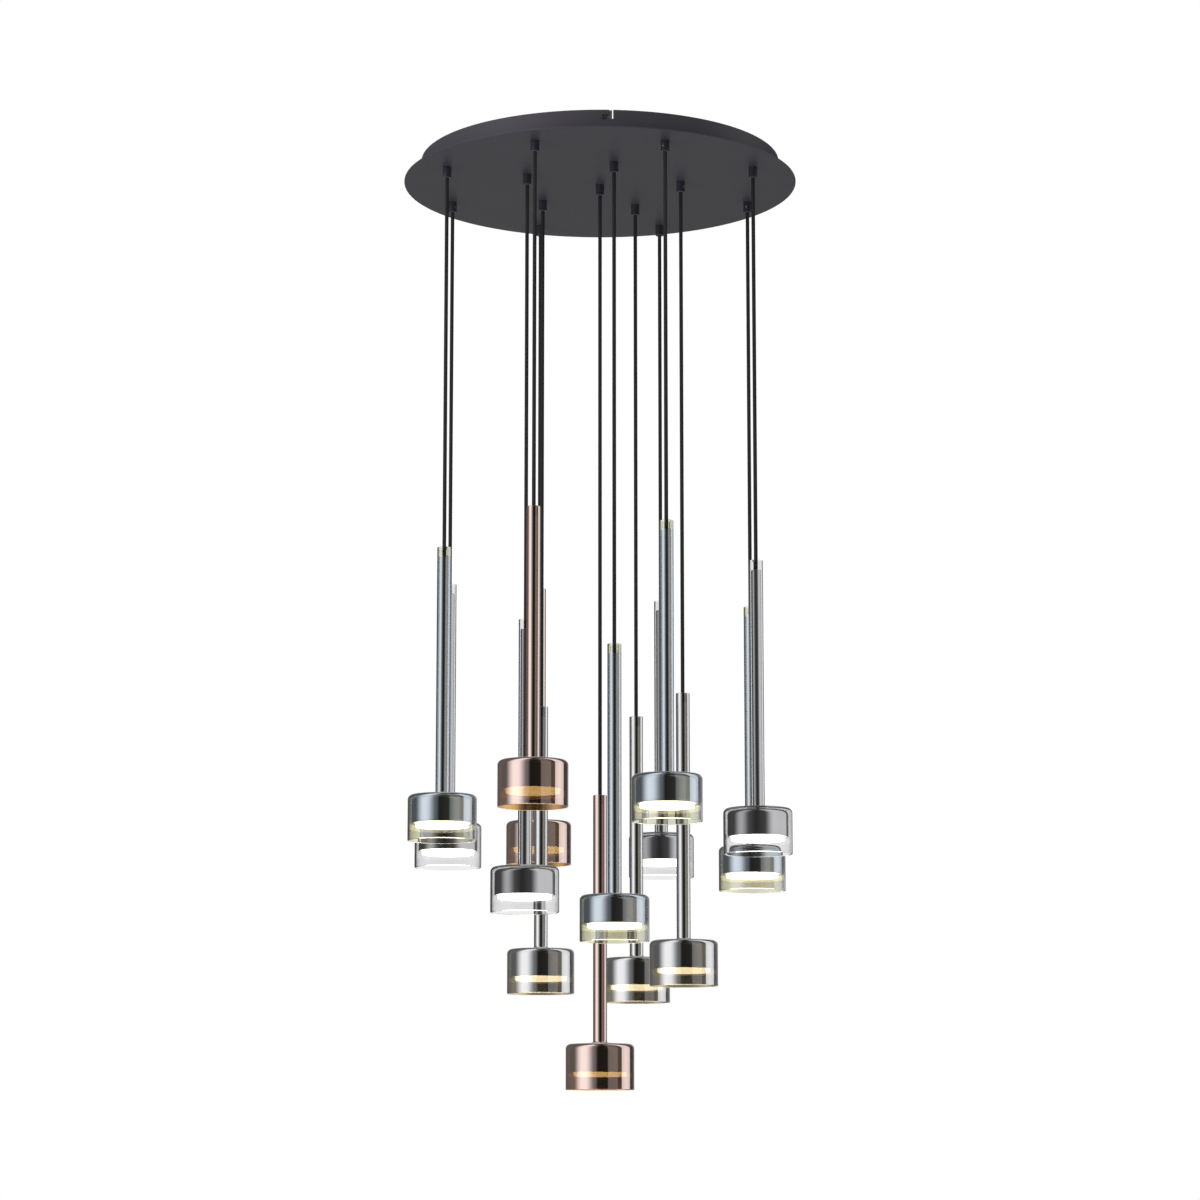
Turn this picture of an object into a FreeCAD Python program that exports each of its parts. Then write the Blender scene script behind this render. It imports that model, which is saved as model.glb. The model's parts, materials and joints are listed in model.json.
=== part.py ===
import FreeCAD, Part
import math
import os

from FreeCAD import Vector

# Cluster pendant: a round ceiling canopy with fourteen glass shades on straight cables.
# Millimetres. The origin is the centre of the ceiling face, +Z is up, and the front is -Y.

# Canopy
FACE_RADIUS = 350.0
FACE_THICKNESS = 2.0
FACE_DROP = 40.5  # ceiling to the underside of the face
FACE_OVERHANG = 30.0  # of the face, all round the collar
COLLAR_STRIP = 1.5
COLLAR_FOOT = 12.0  # foot turned inwards, welded to the face
CEILING_GAP = 1.0

# Bayonet: the canopy lifts over four screws and turns until they reach the end of the slots
ARM_COUNT = 4
BRACKET_TURN = 1.0  # degrees from the front to the nearest arm
SLOT_WIDTH = 7.0
SLOT_DEPTH = 16.0
SLOT_TRAVEL = 13.4  # from the mouth's centre line to the locked screw
STOP_CLEARANCE = 0.5
REST_CLEARANCE = 0.3

# Ceiling bracket
BRACKET_WIDTH = 30.0
BRACKET_STRIP = 2.5
BRACKET_HUB_RADIUS = 60.0
BRACKET_TAB = 22.0  # from the ceiling to the tab's lower edge
BRACKET_BEND = 1.5
TAB_GAP = 0.6
FIXING_RADIUS = 90.0
FIXING_HOLE_RADIUS = 3.0
SUPPLY_HOLE_RADIUS = 10.0
SUPPLY_RADIUS = 38.0
SUPPLY_ANGLE = 45.0
EARTH_ANGLE = 135.0

# Side screws and earth screw
SCREW_RADIUS = 2.5
SCREW_HEAD_RADIUS = 4.75
SCREW_HEAD_HEIGHT = 3.0
SCREW_CLEARANCE = 0.3
THREAD_CLEARANCE = 0.1
WELD_NUT_FLATS = 9.0
WELD_NUT_HEIGHT = 4.0
SCREW_END = 1.0
EARTH_SCREW_RADIUS = 2.0
EARTH_HEAD_RADIUS = 4.0
EARTH_HEAD_HEIGHT = 2.2
EARTH_NUT_FLATS = 7.0
EARTH_NUT_HEIGHT = 3.0

# Cord grips and cables
GRIP_RADIUS = 7.5
GRIP_HEIGHT = 19.0
STEM_RADIUS = 5.0
STEM_CLEARANCE = 0.2
STEM_END = 1.5
GRIP_NUT_FLATS = 14.0
GRIP_NUT_HEIGHT = 3.5
CABLE_RADIUS = 3.3
CABLE_CLEARANCE = 0.3
SWING_GAP = 0.6  # between the cable's fixed end in the grip and its swinging part

# Places of the pendants: one in the middle, five on the inner ring, eight on the outer ring
RING_INSET = 29.0  # from the collar's outside in to the outer ring
INNER_RING_COUNT = 5
INNER_RING_START = -80.3
OUTER_RING_COUNT = 8
OUTER_RING_START = -157.5

# Glass shade
GLASS_HEIGHT = 507.0
DRUM_HEIGHT = 78.0
DRUM_RADIUS = 59.0
DRUM_WALL = 3.0
DRUM_SHOULDER = 8.0
DRUM_DOME = 2.5  # rise of the drum's top, and of the cap's under it, from the shoulder to the stem
GLASS_STEM_RADIUS = 12.0
GLASS_STEM_WALL = 2.0
GLASS_STEM_FLARE = 4.0

# Lamp inside the shade
TUBE_RADIUS = 8.5
TUBE_WALL = 1.5
TUBE_BELOW_GLASS = 17.0  # top of the lamp tube below the top of the glass
CAP_RADIUS = 52.0
CAP_WALL = 2.0
CAP_BELOW_GLASS = 4.0
CAP_SHOULDER = 6.0
CAP_ABOVE_RIM = 30.0
SEAT_INNER_RADIUS = 20.0
SEAT_OUTER_RADIUS = 30.0
BOARD_THICKNESS = 1.6
BOARD_CLEARANCE = 0.3
DIFFUSER_RADIUS = 45.5
DIFFUSER_ABOVE_RIM = 23.0

# Drivers, terminals and wires on the back of the face
DRIVER_COUNT = 4
DRIVER_START = 45.0
DRIVER_LENGTH = 112.0
DRIVER_WIDTH = 42.0
DRIVER_HEIGHT = 22.0
DRIVER_EDGE = 2.0
TAB_LENGTH = 10.0
TAB_THICKNESS = 2.0
TAB_SPACING = 80.0
TERMINAL_OFFSET = 25.5  # from the inner ring out to the middle of a driver's terminal bar
TERMINAL_GAP = 12.0  # between a driver and its terminal bar
TERMINAL_LENGTH = 110.0
TERMINAL_WIDTH = 22.0
TERMINAL_HEIGHT = 20.0
TERMINAL_STEP = 3.0
MAINS_TERMINAL_X = -72.0
MAINS_TERMINAL_LENGTH = 52.0
CONNECTOR_LENGTH = 18.0
CONNECTOR_WIDTH = 12.0
CONNECTOR_HEIGHT = 8.0
CONNECTOR_GAP = 1.5  # above the grip's stem
WIRE_WIDTH = 4.4
WIRE_THICKNESS = 2.2
MAINS_WIRE_RADIUS = 1.8
MAINS_WIRE_PLANE = 14.5  # above the back of the face
MAINS_ENTRY = 12.0  # along a driver's terminal bar, from its middle
MAINS_ENTRY_FAR = 25.0
MAINS_ENTRIES = (MAINS_ENTRY, MAINS_ENTRY_FAR, MAINS_ENTRY, -MAINS_ENTRY)
MAINS_PITCH = 12.0  # between neighbouring wires in the mains terminal
LEAD_ENTRY = 35.0  # of the inner pendants' wires, along the bar from its middle
LEAD_ENTRY_FAR = 50.0  # of the outer pendants' wires

# Drop of each pendant, from the face down to its glass rim
DROP_01 = 1186.0
DROP_02 = 1214.0
DROP_03 = 1305.0
DROP_04 = 1144.0
DROP_05 = 1196.0
DROP_06 = 1436.0
DROP_07 = 1604.0
DROP_08 = 1359.0
DROP_09 = 1450.0
DROP_10 = 1219.0
DROP_11 = 1168.0
DROP_12 = 1428.0
DROP_13 = 1255.0
DROP_14 = 1209.0

# Each pendant: its ring, its step round the ring, its drop, the driver that lights it, and where
# its wire reaches the driver's terminal bar, from the middle
PENDANTS = {
    "01": ("outer", 0, DROP_01, 2, -LEAD_ENTRY_FAR),
    "02": ("outer", 7, DROP_02, 1, LEAD_ENTRY_FAR),
    "03": ("inner", 4, DROP_03, 2, -LEAD_ENTRY),
    "04": ("outer", 1, DROP_04, 2, LEAD_ENTRY_FAR),
    "05": ("outer", 6, DROP_05, 1, -LEAD_ENTRY_FAR),
    "06": ("inner", 3, DROP_06, 1, 0.0),
    "07": ("middle", 0, DROP_07, 3, 0.0),
    "08": ("inner", 0, DROP_08, 3, -LEAD_ENTRY),
    "09": ("inner", 2, DROP_09, 0, LEAD_ENTRY),
    "10": ("outer", 5, DROP_10, 0, LEAD_ENTRY_FAR),
    "11": ("outer", 2, DROP_11, 3, -LEAD_ENTRY_FAR),
    "12": ("inner", 1, DROP_12, 3, LEAD_ENTRY),
    "13": ("outer", 4, DROP_13, 0, -LEAD_ENTRY_FAR),
    "14": ("outer", 3, DROP_14, 3, LEAD_ENTRY_FAR),
}

FULL_TURN = 360.0  # degrees
COLLAR_RADIUS = FACE_RADIUS - FACE_OVERHANG
OUTER_RING_RADIUS = COLLAR_RADIUS - RING_INSET
INNER_RING_RADIUS = OUTER_RING_RADIUS / 2
TERMINAL_RADIUS = INNER_RING_RADIUS + TERMINAL_OFFSET
DRIVER_RADIUS = TERMINAL_RADIUS + (DRIVER_WIDTH + TERMINAL_WIDTH) / 2 + TERMINAL_GAP
FACE_UNDER = -FACE_DROP
FACE_BACK = FACE_UNDER + FACE_THICKNESS
COLLAR_TOP = -CEILING_GAP
COLLAR_INNER = COLLAR_RADIUS - COLLAR_STRIP
SLOT_BOTTOM = COLLAR_TOP - SLOT_DEPTH
SCREW_Z = SLOT_BOTTOM + SLOT_WIDTH - REST_CLEARANCE - SCREW_RADIUS
SCREW_UNDER_HEAD = -COLLAR_RADIUS - REST_CLEARANCE
TAB_FACE = -math.sqrt(COLLAR_INNER**2 - (BRACKET_WIDTH / 2) ** 2) + TAB_GAP
TAB_BACK = TAB_FACE + BRACKET_STRIP
GRIP_END = FACE_UNDER - GRIP_HEIGHT
GRIP_BORE = CABLE_RADIUS + CABLE_CLEARANCE
STEM_TOP = FACE_BACK + GRIP_NUT_HEIGHT + STEM_END
CONNECTOR_BASE = STEM_TOP + CONNECTOR_GAP
CAP_TOP = DRUM_HEIGHT - CAP_BELOW_GLASS
DOME_SLOPE = DRUM_DOME / (DRUM_RADIUS - DRUM_SHOULDER - GLASS_STEM_RADIUS)
TUBE_TOP = GLASS_HEIGHT - TUBE_BELOW_GLASS
CAP_INNER = CAP_RADIUS - CAP_WALL
DRIVER_STEP = FULL_TURN / DRIVER_COUNT

UP = Vector(0, 0, 1)
DOWN = Vector(0, 0, -1)
BACK = Vector(0, 1, 0)
ORIGIN = Vector(0, 0, 0)


def polar(radius, degrees, z=0.0):
    """Point at a radius and angle round the canopy's axis."""
    turn = math.radians(degrees)
    return Vector(radius * math.cos(turn), radius * math.sin(turn), z)


def turned(shape, degrees):
    """Copy of a shape, turned round the canopy's axis."""
    copy = shape.copy()
    copy.rotate(ORIGIN, UP, degrees)
    return copy


def round_the_axis(shape, count, start):
    """Equally spaced copies of a shape round the canopy's axis."""
    return [turned(shape, start + FULL_TURN * step / count) for step in range(count)]


def outline_face(corners):
    """Flat face inside a closed run of corners."""
    return Part.Face(Part.makePolygon(corners + corners[:1]))


def revolved(profile):
    """Solid turned from a closed outline of (radius, height) points."""
    return outline_face([Vector(radius, 0, z) for radius, z in profile]).revolve(ORIGIN, UP, FULL_TURN)


def hexagon(flats, height, base):
    """Hexagonal prism across the given flats, standing on a point along +Z."""
    reach = flats / math.sqrt(3)
    return outline_face([base + polar(reach, 60.0 * step) for step in range(6)]).extrude(UP * height)


def eased(radius, corner_radius, top):
    """Points down a round outer shoulder, drawn as two tapers that touch its curve."""
    half = corner_radius * (1 - math.sqrt(0.5))
    return [
        (radius - corner_radius, top),
        (radius - half, top - half),
        (radius, top - corner_radius),
    ]


def domed(radius, top):
    """Point on the shallow cone that the tops of the drum and the cap follow, top being its foot."""
    foot = DRUM_RADIUS - DRUM_SHOULDER
    return (radius, top + (foot - radius) * DOME_SLOPE)


def seat_of(number):
    """Place of one pendant on the canopy."""
    ring, step = PENDANTS[number][:2]
    if ring == "inner":
        return polar(INNER_RING_RADIUS, INNER_RING_START + FULL_TURN * step / INNER_RING_COUNT)
    if ring == "outer":
        return polar(OUTER_RING_RADIUS, OUTER_RING_START + FULL_TURN * step / OUTER_RING_COUNT)
    return Vector(0, 0, 0)


def rim_of(number):
    """Height of one shade's open rim."""
    return FACE_UNDER - PENDANTS[number][2]


def canopy_face():
    """Flat round face with a hole for each grip's threaded stem."""
    face = Part.makeCylinder(FACE_RADIUS, FACE_THICKNESS, UP * FACE_UNDER)
    reach = 3 * FACE_THICKNESS
    hole = Part.makeCylinder(STEM_RADIUS + STEM_CLEARANCE, reach, UP * (FACE_UNDER - reach / 3))
    return face.cut([hole.translated(seat_of(number)) for number in PENDANTS])


def bayonet_cut():
    """The L-shaped opening that a side screw passes through, at the front arm."""
    depth = 10 * COLLAR_STRIP
    near = -COLLAR_RADIUS - depth / 2
    stop = -SCREW_RADIUS - STOP_CLEARANCE
    far_side = SLOT_TRAVEL + SLOT_WIDTH / 2
    mouth = Part.makeBox(
        SLOT_WIDTH, depth, SLOT_DEPTH + CEILING_GAP, Vector(far_side - SLOT_WIDTH, near, SLOT_BOTTOM)
    )
    leg = Part.makeBox(far_side - stop, depth, SLOT_WIDTH, Vector(stop, near, SLOT_BOTTOM))
    return mouth.fuse(leg)


def canopy_collar():
    """Rolled strip with a foot turned inwards and a bayonet slot at each arm."""
    foot = COLLAR_INNER - COLLAR_FOOT
    strip = revolved(
        [
            (foot, FACE_BACK),
            (COLLAR_RADIUS, FACE_BACK),
            (COLLAR_RADIUS, COLLAR_TOP),
            (COLLAR_INNER, COLLAR_TOP),
            (COLLAR_INNER, FACE_BACK + COLLAR_STRIP),
            (foot, FACE_BACK + COLLAR_STRIP),
        ]
    )
    return strip.cut(round_the_axis(bayonet_cut(), ARM_COUNT, BRACKET_TURN))


def folded_strip():
    """Side outline of the front arm: flat under the ceiling, then folded down at its end."""
    outer = BRACKET_BEND + BRACKET_STRIP
    centre = Vector(0, TAB_FACE + outer, -outer)
    slant = Vector(0, -math.sqrt(0.5), math.sqrt(0.5))
    top_end = Vector(0, TAB_FACE + outer, 0)
    fold_end = Vector(0, TAB_FACE, -outer)
    inner_start = Vector(0, TAB_BACK, -outer)
    inner_end = Vector(0, TAB_FACE + outer, -BRACKET_STRIP)
    edges = [
        Part.LineSegment(ORIGIN, top_end),
        Part.Arc(top_end, centre + slant * outer, fold_end),
        Part.LineSegment(fold_end, Vector(0, TAB_FACE, -BRACKET_TAB)),
        Part.LineSegment(Vector(0, TAB_FACE, -BRACKET_TAB), Vector(0, TAB_BACK, -BRACKET_TAB)),
        Part.LineSegment(Vector(0, TAB_BACK, -BRACKET_TAB), inner_start),
        Part.Arc(inner_start, centre + slant * BRACKET_BEND, inner_end),
        Part.LineSegment(inner_end, Vector(0, 0, -BRACKET_STRIP)),
        Part.LineSegment(Vector(0, 0, -BRACKET_STRIP), ORIGIN),
    ]
    return Part.Wire([edge.toShape() for edge in edges])


def bracket_arm():
    """The front arm of the bracket, with its ceiling hole and its screw hole."""
    arm = Part.Face(folded_strip()).extrude(Vector(BRACKET_WIDTH, 0, 0))
    arm.translate(Vector(-BRACKET_WIDTH / 2, 0, 0))
    screw_hole = Part.makeCylinder(
        SCREW_RADIUS + SCREW_CLEARANCE,
        3 * BRACKET_STRIP,
        Vector(0, TAB_FACE - BRACKET_STRIP, SCREW_Z),
        BACK,
    )
    fixing_hole = Part.makeCylinder(
        FIXING_HOLE_RADIUS, 3 * BRACKET_STRIP, Vector(0, -FIXING_RADIUS, BRACKET_STRIP), DOWN
    )
    return arm.cut([screw_hole, fixing_hole])


def ceiling_bracket():
    """Cross of folded arms round a hub, with the supply and earth holes beside the middle."""
    hub = Part.makeCylinder(BRACKET_HUB_RADIUS, BRACKET_STRIP, Vector(0, 0, -BRACKET_STRIP))
    cross = hub.fuse(round_the_axis(bracket_arm(), ARM_COUNT, BRACKET_TURN)).removeSplitter()
    above = BRACKET_STRIP
    supply = Part.makeCylinder(
        SUPPLY_HOLE_RADIUS, 3 * BRACKET_STRIP, polar(SUPPLY_RADIUS, SUPPLY_ANGLE, above), DOWN
    )
    earth = Part.makeCylinder(
        EARTH_SCREW_RADIUS + SCREW_CLEARANCE,
        3 * BRACKET_STRIP,
        polar(SUPPLY_RADIUS, EARTH_ANGLE, above),
        DOWN,
    )
    return cross.cut([supply, earth])


def side_screw():
    """Screw that the collar hangs on, at the front arm: its head outside, its end in the nut."""
    length = TAB_BACK + WELD_NUT_HEIGHT + SCREW_END - SCREW_UNDER_HEAD
    under_head = Vector(0, SCREW_UNDER_HEAD, SCREW_Z)
    head = Part.makeCylinder(
        SCREW_HEAD_RADIUS, SCREW_HEAD_HEIGHT, under_head - BACK * SCREW_HEAD_HEIGHT, BACK
    )
    return head.fuse(Part.makeCylinder(SCREW_RADIUS, length, under_head, BACK))


def weld_nut():
    """Nut welded behind the tab of the front arm."""
    bore = Part.makeCylinder(SCREW_RADIUS + THREAD_CLEARANCE, WELD_NUT_HEIGHT)
    nut = hexagon(WELD_NUT_FLATS, WELD_NUT_HEIGHT, ORIGIN).cut(bore)
    nut.rotate(ORIGIN, Vector(1, 0, 0), -90)
    nut.translate(Vector(0, TAB_BACK, SCREW_Z))
    return nut


def earth_screw():
    """Earth screw with its nut under the bracket's hub."""
    place = polar(SUPPLY_RADIUS, EARTH_ANGLE)
    nut_end = place + DOWN * (BRACKET_STRIP + EARTH_NUT_HEIGHT)
    head_end = nut_end + DOWN * EARTH_HEAD_HEIGHT
    shank = Part.makeCylinder(EARTH_SCREW_RADIUS, -head_end.z, head_end)
    head = Part.makeCylinder(EARTH_HEAD_RADIUS, EARTH_HEAD_HEIGHT, head_end)
    return shank.fuse([head, hexagon(EARTH_NUT_FLATS, EARTH_NUT_HEIGHT, nut_end)])


def cord_grip(number):
    """Turned grip under the face, with a threaded stem through it, bored for the cable."""
    grip = revolved(
        [
            (GRIP_BORE, GRIP_END),
            (GRIP_RADIUS, GRIP_END),
            (GRIP_RADIUS, FACE_UNDER),
            (STEM_RADIUS, FACE_UNDER),
            (STEM_RADIUS, STEM_TOP),
            (GRIP_BORE, STEM_TOP),
        ]
    )
    grip.translate(seat_of(number))
    return grip


def grip_nut(number):
    """Thin nut on the back of the face that holds one grip."""
    bore = Part.makeCylinder(STEM_RADIUS + THREAD_CLEARANCE, GRIP_NUT_HEIGHT, UP * FACE_BACK)
    nut = hexagon(GRIP_NUT_FLATS, GRIP_NUT_HEIGHT, UP * FACE_BACK).cut(bore)
    nut.translate(seat_of(number))
    return nut


def cable_end(number):
    """Fixed end of one cable, clamped in its grip and reaching up to its connector."""
    bottom = GRIP_END + SWING_GAP
    return Part.makeCylinder(CABLE_RADIUS, CONNECTOR_BASE - bottom, seat_of(number) + UP * bottom)


def cable(number):
    """Straight cable from the grip's mouth to the top of the lamp tube."""
    bottom = rim_of(number) + TUBE_TOP
    return Part.makeCylinder(CABLE_RADIUS, GRIP_END - bottom, seat_of(number) + UP * bottom)


def driver():
    """LED driver with two fixing tabs, on the back of the face along +X."""
    half = DRIVER_LENGTH / 2
    low = DRIVER_RADIUS - DRIVER_WIDTH / 2
    high = DRIVER_RADIUS + DRIVER_WIDTH / 2
    top = FACE_BACK + DRIVER_HEIGHT
    case = outline_face(
        [
            Vector(low, -half, FACE_BACK),
            Vector(high, -half, FACE_BACK),
            Vector(high, -half, top - DRIVER_EDGE),
            Vector(high - DRIVER_EDGE, -half, top),
            Vector(low + DRIVER_EDGE, -half, top),
            Vector(low, -half, top - DRIVER_EDGE),
        ]
    ).extrude(BACK * DRIVER_LENGTH)
    tabs = [
        Part.makeBox(
            TAB_LENGTH,
            TAB_LENGTH,
            TAB_THICKNESS,
            Vector(high, side * TAB_SPACING / 2 - TAB_LENGTH / 2, FACE_BACK),
        )
        for side in (-1, 1)
    ]
    return case.fuse(tabs)


def terminal_bar(length):
    """Terminal bar with eased upper edges on the back of the face, across +X at the axis."""
    half = TERMINAL_WIDTH / 2
    top = FACE_BACK + TERMINAL_HEIGHT
    step = top - TERMINAL_STEP
    end = -length / 2
    return outline_face(
        [
            Vector(-half, end, FACE_BACK),
            Vector(half, end, FACE_BACK),
            Vector(half, end, step),
            Vector(half - TERMINAL_STEP, end, top),
            Vector(TERMINAL_STEP - half, end, top),
            Vector(-half, end, step),
        ]
    ).extrude(BACK * length)


def driver_terminal():
    """Terminal bar of the driver along +X."""
    bar = terminal_bar(TERMINAL_LENGTH)
    bar.translate(Vector(TERMINAL_RADIUS, 0, 0))
    return bar


def mains_terminal():
    """Terminal bar beside the middle that the supply comes to."""
    bar = terminal_bar(MAINS_TERMINAL_LENGTH)
    bar.translate(Vector(MAINS_TERMINAL_X, 0, 0))
    return bar


def terminal_point(step, along, height):
    """Point inside one driver's terminal bar, along it from the middle and above the face."""
    point = Vector(TERMINAL_RADIUS, along, FACE_BACK + height)
    return turned(Part.Vertex(point), DRIVER_START + DRIVER_STEP * step).Point


def wire_target(number):
    """Where the wire of one pendant ends in its driver's terminal bar."""
    step, along = PENDANTS[number][3:]
    height = CONNECTOR_BASE + CONNECTOR_HEIGHT / 2 - FACE_BACK
    return terminal_point(step, along, height)


def along_wire(box, number):
    """Copy of a box that lies along +X from the axis, turned to one pendant's wire and put there."""
    seat = seat_of(number)
    way = wire_target(number) - seat
    placed = turned(box, math.degrees(math.atan2(way.y, way.x)))
    placed.translate(seat)
    return placed


def lead_connector(number):
    """Connector on the fixed end of one cable, in line with its wire."""
    block = Part.makeBox(
        CONNECTOR_LENGTH,
        CONNECTOR_WIDTH,
        CONNECTOR_HEIGHT,
        Vector(-CONNECTOR_LENGTH / 2, -CONNECTOR_WIDTH / 2, CONNECTOR_BASE),
    )
    return along_wire(block, number)


def driver_wire(number, bars):
    """Flat twin wire from one connector to a terminal bar."""
    seat = seat_of(number)
    target = wire_target(number)
    start = CONNECTOR_LENGTH / 2
    length = math.hypot(target.x - seat.x, target.y - seat.y) - start
    strip = Part.makeBox(
        length,
        WIRE_WIDTH,
        WIRE_THICKNESS,
        Vector(start, -WIRE_WIDTH / 2, target.z - WIRE_THICKNESS / 2),
    )
    return along_wire(strip, number).cut(bars)


def mains_wire(step, bars):
    """Straight round wire from the mains terminal to one driver's terminal bar."""
    target = terminal_point(step, MAINS_ENTRIES[step], MAINS_WIRE_PLANE)
    side = 1 if target.y > 0 else -1
    place = 1.5 if target.x > MAINS_TERMINAL_X else 0.5
    start = Vector(MAINS_TERMINAL_X, side * place * MAINS_PITCH, target.z)
    way = target - start
    return Part.makeCylinder(MAINS_WIRE_RADIUS, way.Length, start, way).cut(bars)


def glass_shade():
    """One-piece shade, rim at 0: a long glass stem over a round drum that is open below."""
    inner = DRUM_RADIUS - DRUM_WALL
    ceiling = DRUM_HEIGHT - DRUM_WALL
    bore = GLASS_STEM_RADIUS - GLASS_STEM_WALL
    inner_shoulder = DRUM_SHOULDER - DRUM_WALL
    flare, flare_foot = domed(GLASS_STEM_RADIUS + GLASS_STEM_FLARE, DRUM_HEIGHT)
    return revolved(
        [
            (bore, GLASS_HEIGHT),
            (GLASS_STEM_RADIUS, GLASS_HEIGHT),
            (GLASS_STEM_RADIUS, flare_foot + GLASS_STEM_FLARE),
            (flare, flare_foot),
            *eased(DRUM_RADIUS, DRUM_SHOULDER, DRUM_HEIGHT),
            (DRUM_RADIUS, 0),
            (inner, 0),
            (inner, ceiling - inner_shoulder),
            (inner - inner_shoulder, ceiling),
            domed(bore, ceiling),
        ]
    )


def lamp_tube():
    """Tube down the glass stem, closed at the top where the cable goes in."""
    bore = TUBE_RADIUS - TUBE_WALL
    foot = domed(bore, CAP_TOP)[1]
    return revolved(
        [
            (0, TUBE_TOP),
            (TUBE_RADIUS, TUBE_TOP),
            (TUBE_RADIUS, foot),
            (bore, foot),
            (bore, TUBE_TOP - TUBE_WALL),
            (0, TUBE_TOP - TUBE_WALL),
        ]
    )


def lamp_cap():
    """Spun metal cap under the top of the shade, open below, with its shoulder eased."""
    ceiling = CAP_TOP - CAP_WALL
    flat = TUBE_RADIUS - TUBE_WALL
    return revolved(
        [
            (0, domed(flat, CAP_TOP)[1]),
            domed(flat, CAP_TOP),
            (CAP_RADIUS - CAP_SHOULDER, CAP_TOP),
            (CAP_RADIUS, CAP_TOP - CAP_SHOULDER),
            (CAP_RADIUS, CAP_ABOVE_RIM),
            (CAP_INNER, CAP_ABOVE_RIM),
            (CAP_INNER, ceiling - CAP_SHOULDER),
            (CAP_INNER - CAP_SHOULDER, ceiling),
            domed(flat, ceiling),
            (0, domed(flat, ceiling)[1]),
        ]
    )


def seat_ring():
    """Soft ring on the cap that the glass rests on."""
    under_glass = DRUM_HEIGHT - DRUM_WALL - REST_CLEARANCE
    return revolved(
        [
            domed(SEAT_INNER_RADIUS, CAP_TOP),
            domed(SEAT_OUTER_RADIUS, CAP_TOP),
            domed(SEAT_OUTER_RADIUS, under_glass),
            domed(SEAT_INNER_RADIUS, under_glass),
        ]
    )


def lamp():
    """Tube, cap, seat ring, LED board and diffuser of one pendant, rim at 0, as separate solids."""
    board = Part.makeCylinder(CAP_INNER - BOARD_CLEARANCE, BOARD_THICKNESS, UP * CAP_ABOVE_RIM)
    diffuser = Part.makeCylinder(
        DIFFUSER_RADIUS, CAP_ABOVE_RIM - DIFFUSER_ABOVE_RIM, UP * DIFFUSER_ABOVE_RIM
    )
    return Part.makeCompound([lamp_tube(), lamp_cap(), seat_ring(), board, diffuser])


def at_rim(shape, number):
    """Copy of a piece of the shade, moved from rim height 0 to one pendant."""
    copy = shape.copy()
    copy.translate(seat_of(number) + UP * rim_of(number))
    return copy


def nodes():
    """Every sub-part by name."""
    driver_bars = round_the_axis(driver_terminal(), DRIVER_COUNT, DRIVER_START)
    mains_bar = mains_terminal()
    shade = glass_shade()
    inside = lamp()

    def each(made_for):
        return Part.makeCompound([made_for(number) for number in PENDANTS])

    made = {
        "ceiling_bracket": ceiling_bracket(),
        "weld_nuts": Part.makeCompound(round_the_axis(weld_nut(), ARM_COUNT, BRACKET_TURN)),
        "side_screws": Part.makeCompound(round_the_axis(side_screw(), ARM_COUNT, BRACKET_TURN)),
        "earth_screw": earth_screw(),
        "canopy_face": canopy_face(),
        "canopy_collar": canopy_collar(),
        "cord_grips": each(cord_grip),
        "grip_nuts": each(grip_nut),
        "cable_ends": each(cable_end),
        "lead_connectors": each(lead_connector),
        "driver_wires": each(lambda number: driver_wire(number, driver_bars)),
        "led_drivers": Part.makeCompound(round_the_axis(driver(), DRIVER_COUNT, DRIVER_START)),
        "driver_terminals": Part.makeCompound(driver_bars),
        "mains_terminal": mains_bar,
        "mains_wires": Part.makeCompound(
            [mains_wire(step, driver_bars + [mains_bar]) for step in range(DRIVER_COUNT)]
        ),
    }
    for number in PENDANTS:
        made["cable_" + number] = cable(number)
        made["glass_" + number] = at_rim(shade, number)
        made["lamp_" + number] = at_rim(inside, number)
    return made


def main():
    os.makedirs("parts", exist_ok=True)
    for name, shape in nodes().items():
        if not shape.isValid():
            raise ValueError(name + " is not a valid shape")
        shape.exportStep("parts/" + name + ".step")
        print(name, len(shape.Solids), "solids", round(shape.Volume), "mm3")


main()
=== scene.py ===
"""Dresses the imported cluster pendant: fourteen glass shades, lamps, cables, canopy and a studio."""

import json
import math

import bmesh
import bpy
from bpy.props import FloatProperty, FloatVectorProperty, PointerProperty
from mathutils import Matrix, Vector


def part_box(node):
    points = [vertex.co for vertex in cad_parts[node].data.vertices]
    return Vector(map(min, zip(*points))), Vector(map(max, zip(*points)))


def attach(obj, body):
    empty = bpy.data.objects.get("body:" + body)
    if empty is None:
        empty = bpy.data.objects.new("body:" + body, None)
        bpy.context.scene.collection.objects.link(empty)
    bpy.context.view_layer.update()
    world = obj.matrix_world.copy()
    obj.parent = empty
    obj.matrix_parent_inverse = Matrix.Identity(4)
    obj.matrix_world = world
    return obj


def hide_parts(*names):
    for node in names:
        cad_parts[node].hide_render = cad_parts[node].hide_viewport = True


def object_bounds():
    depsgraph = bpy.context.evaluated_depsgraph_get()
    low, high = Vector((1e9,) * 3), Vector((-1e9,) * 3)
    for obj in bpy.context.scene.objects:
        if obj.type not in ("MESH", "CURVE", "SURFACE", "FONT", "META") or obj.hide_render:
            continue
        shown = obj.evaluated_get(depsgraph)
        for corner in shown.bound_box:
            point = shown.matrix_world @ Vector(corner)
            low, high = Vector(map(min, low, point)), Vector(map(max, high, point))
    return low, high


bl_info = {
    "name": "Cluster Pendant",
    "version": (1, 0, 0),
    "blender": (4, 5, 0),
    "location": "3D View > Sidebar > Pendant",
    "description": "Models the shades, lamps, cables and canopy of a cluster pendant",
    "category": "Object",
}

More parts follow.
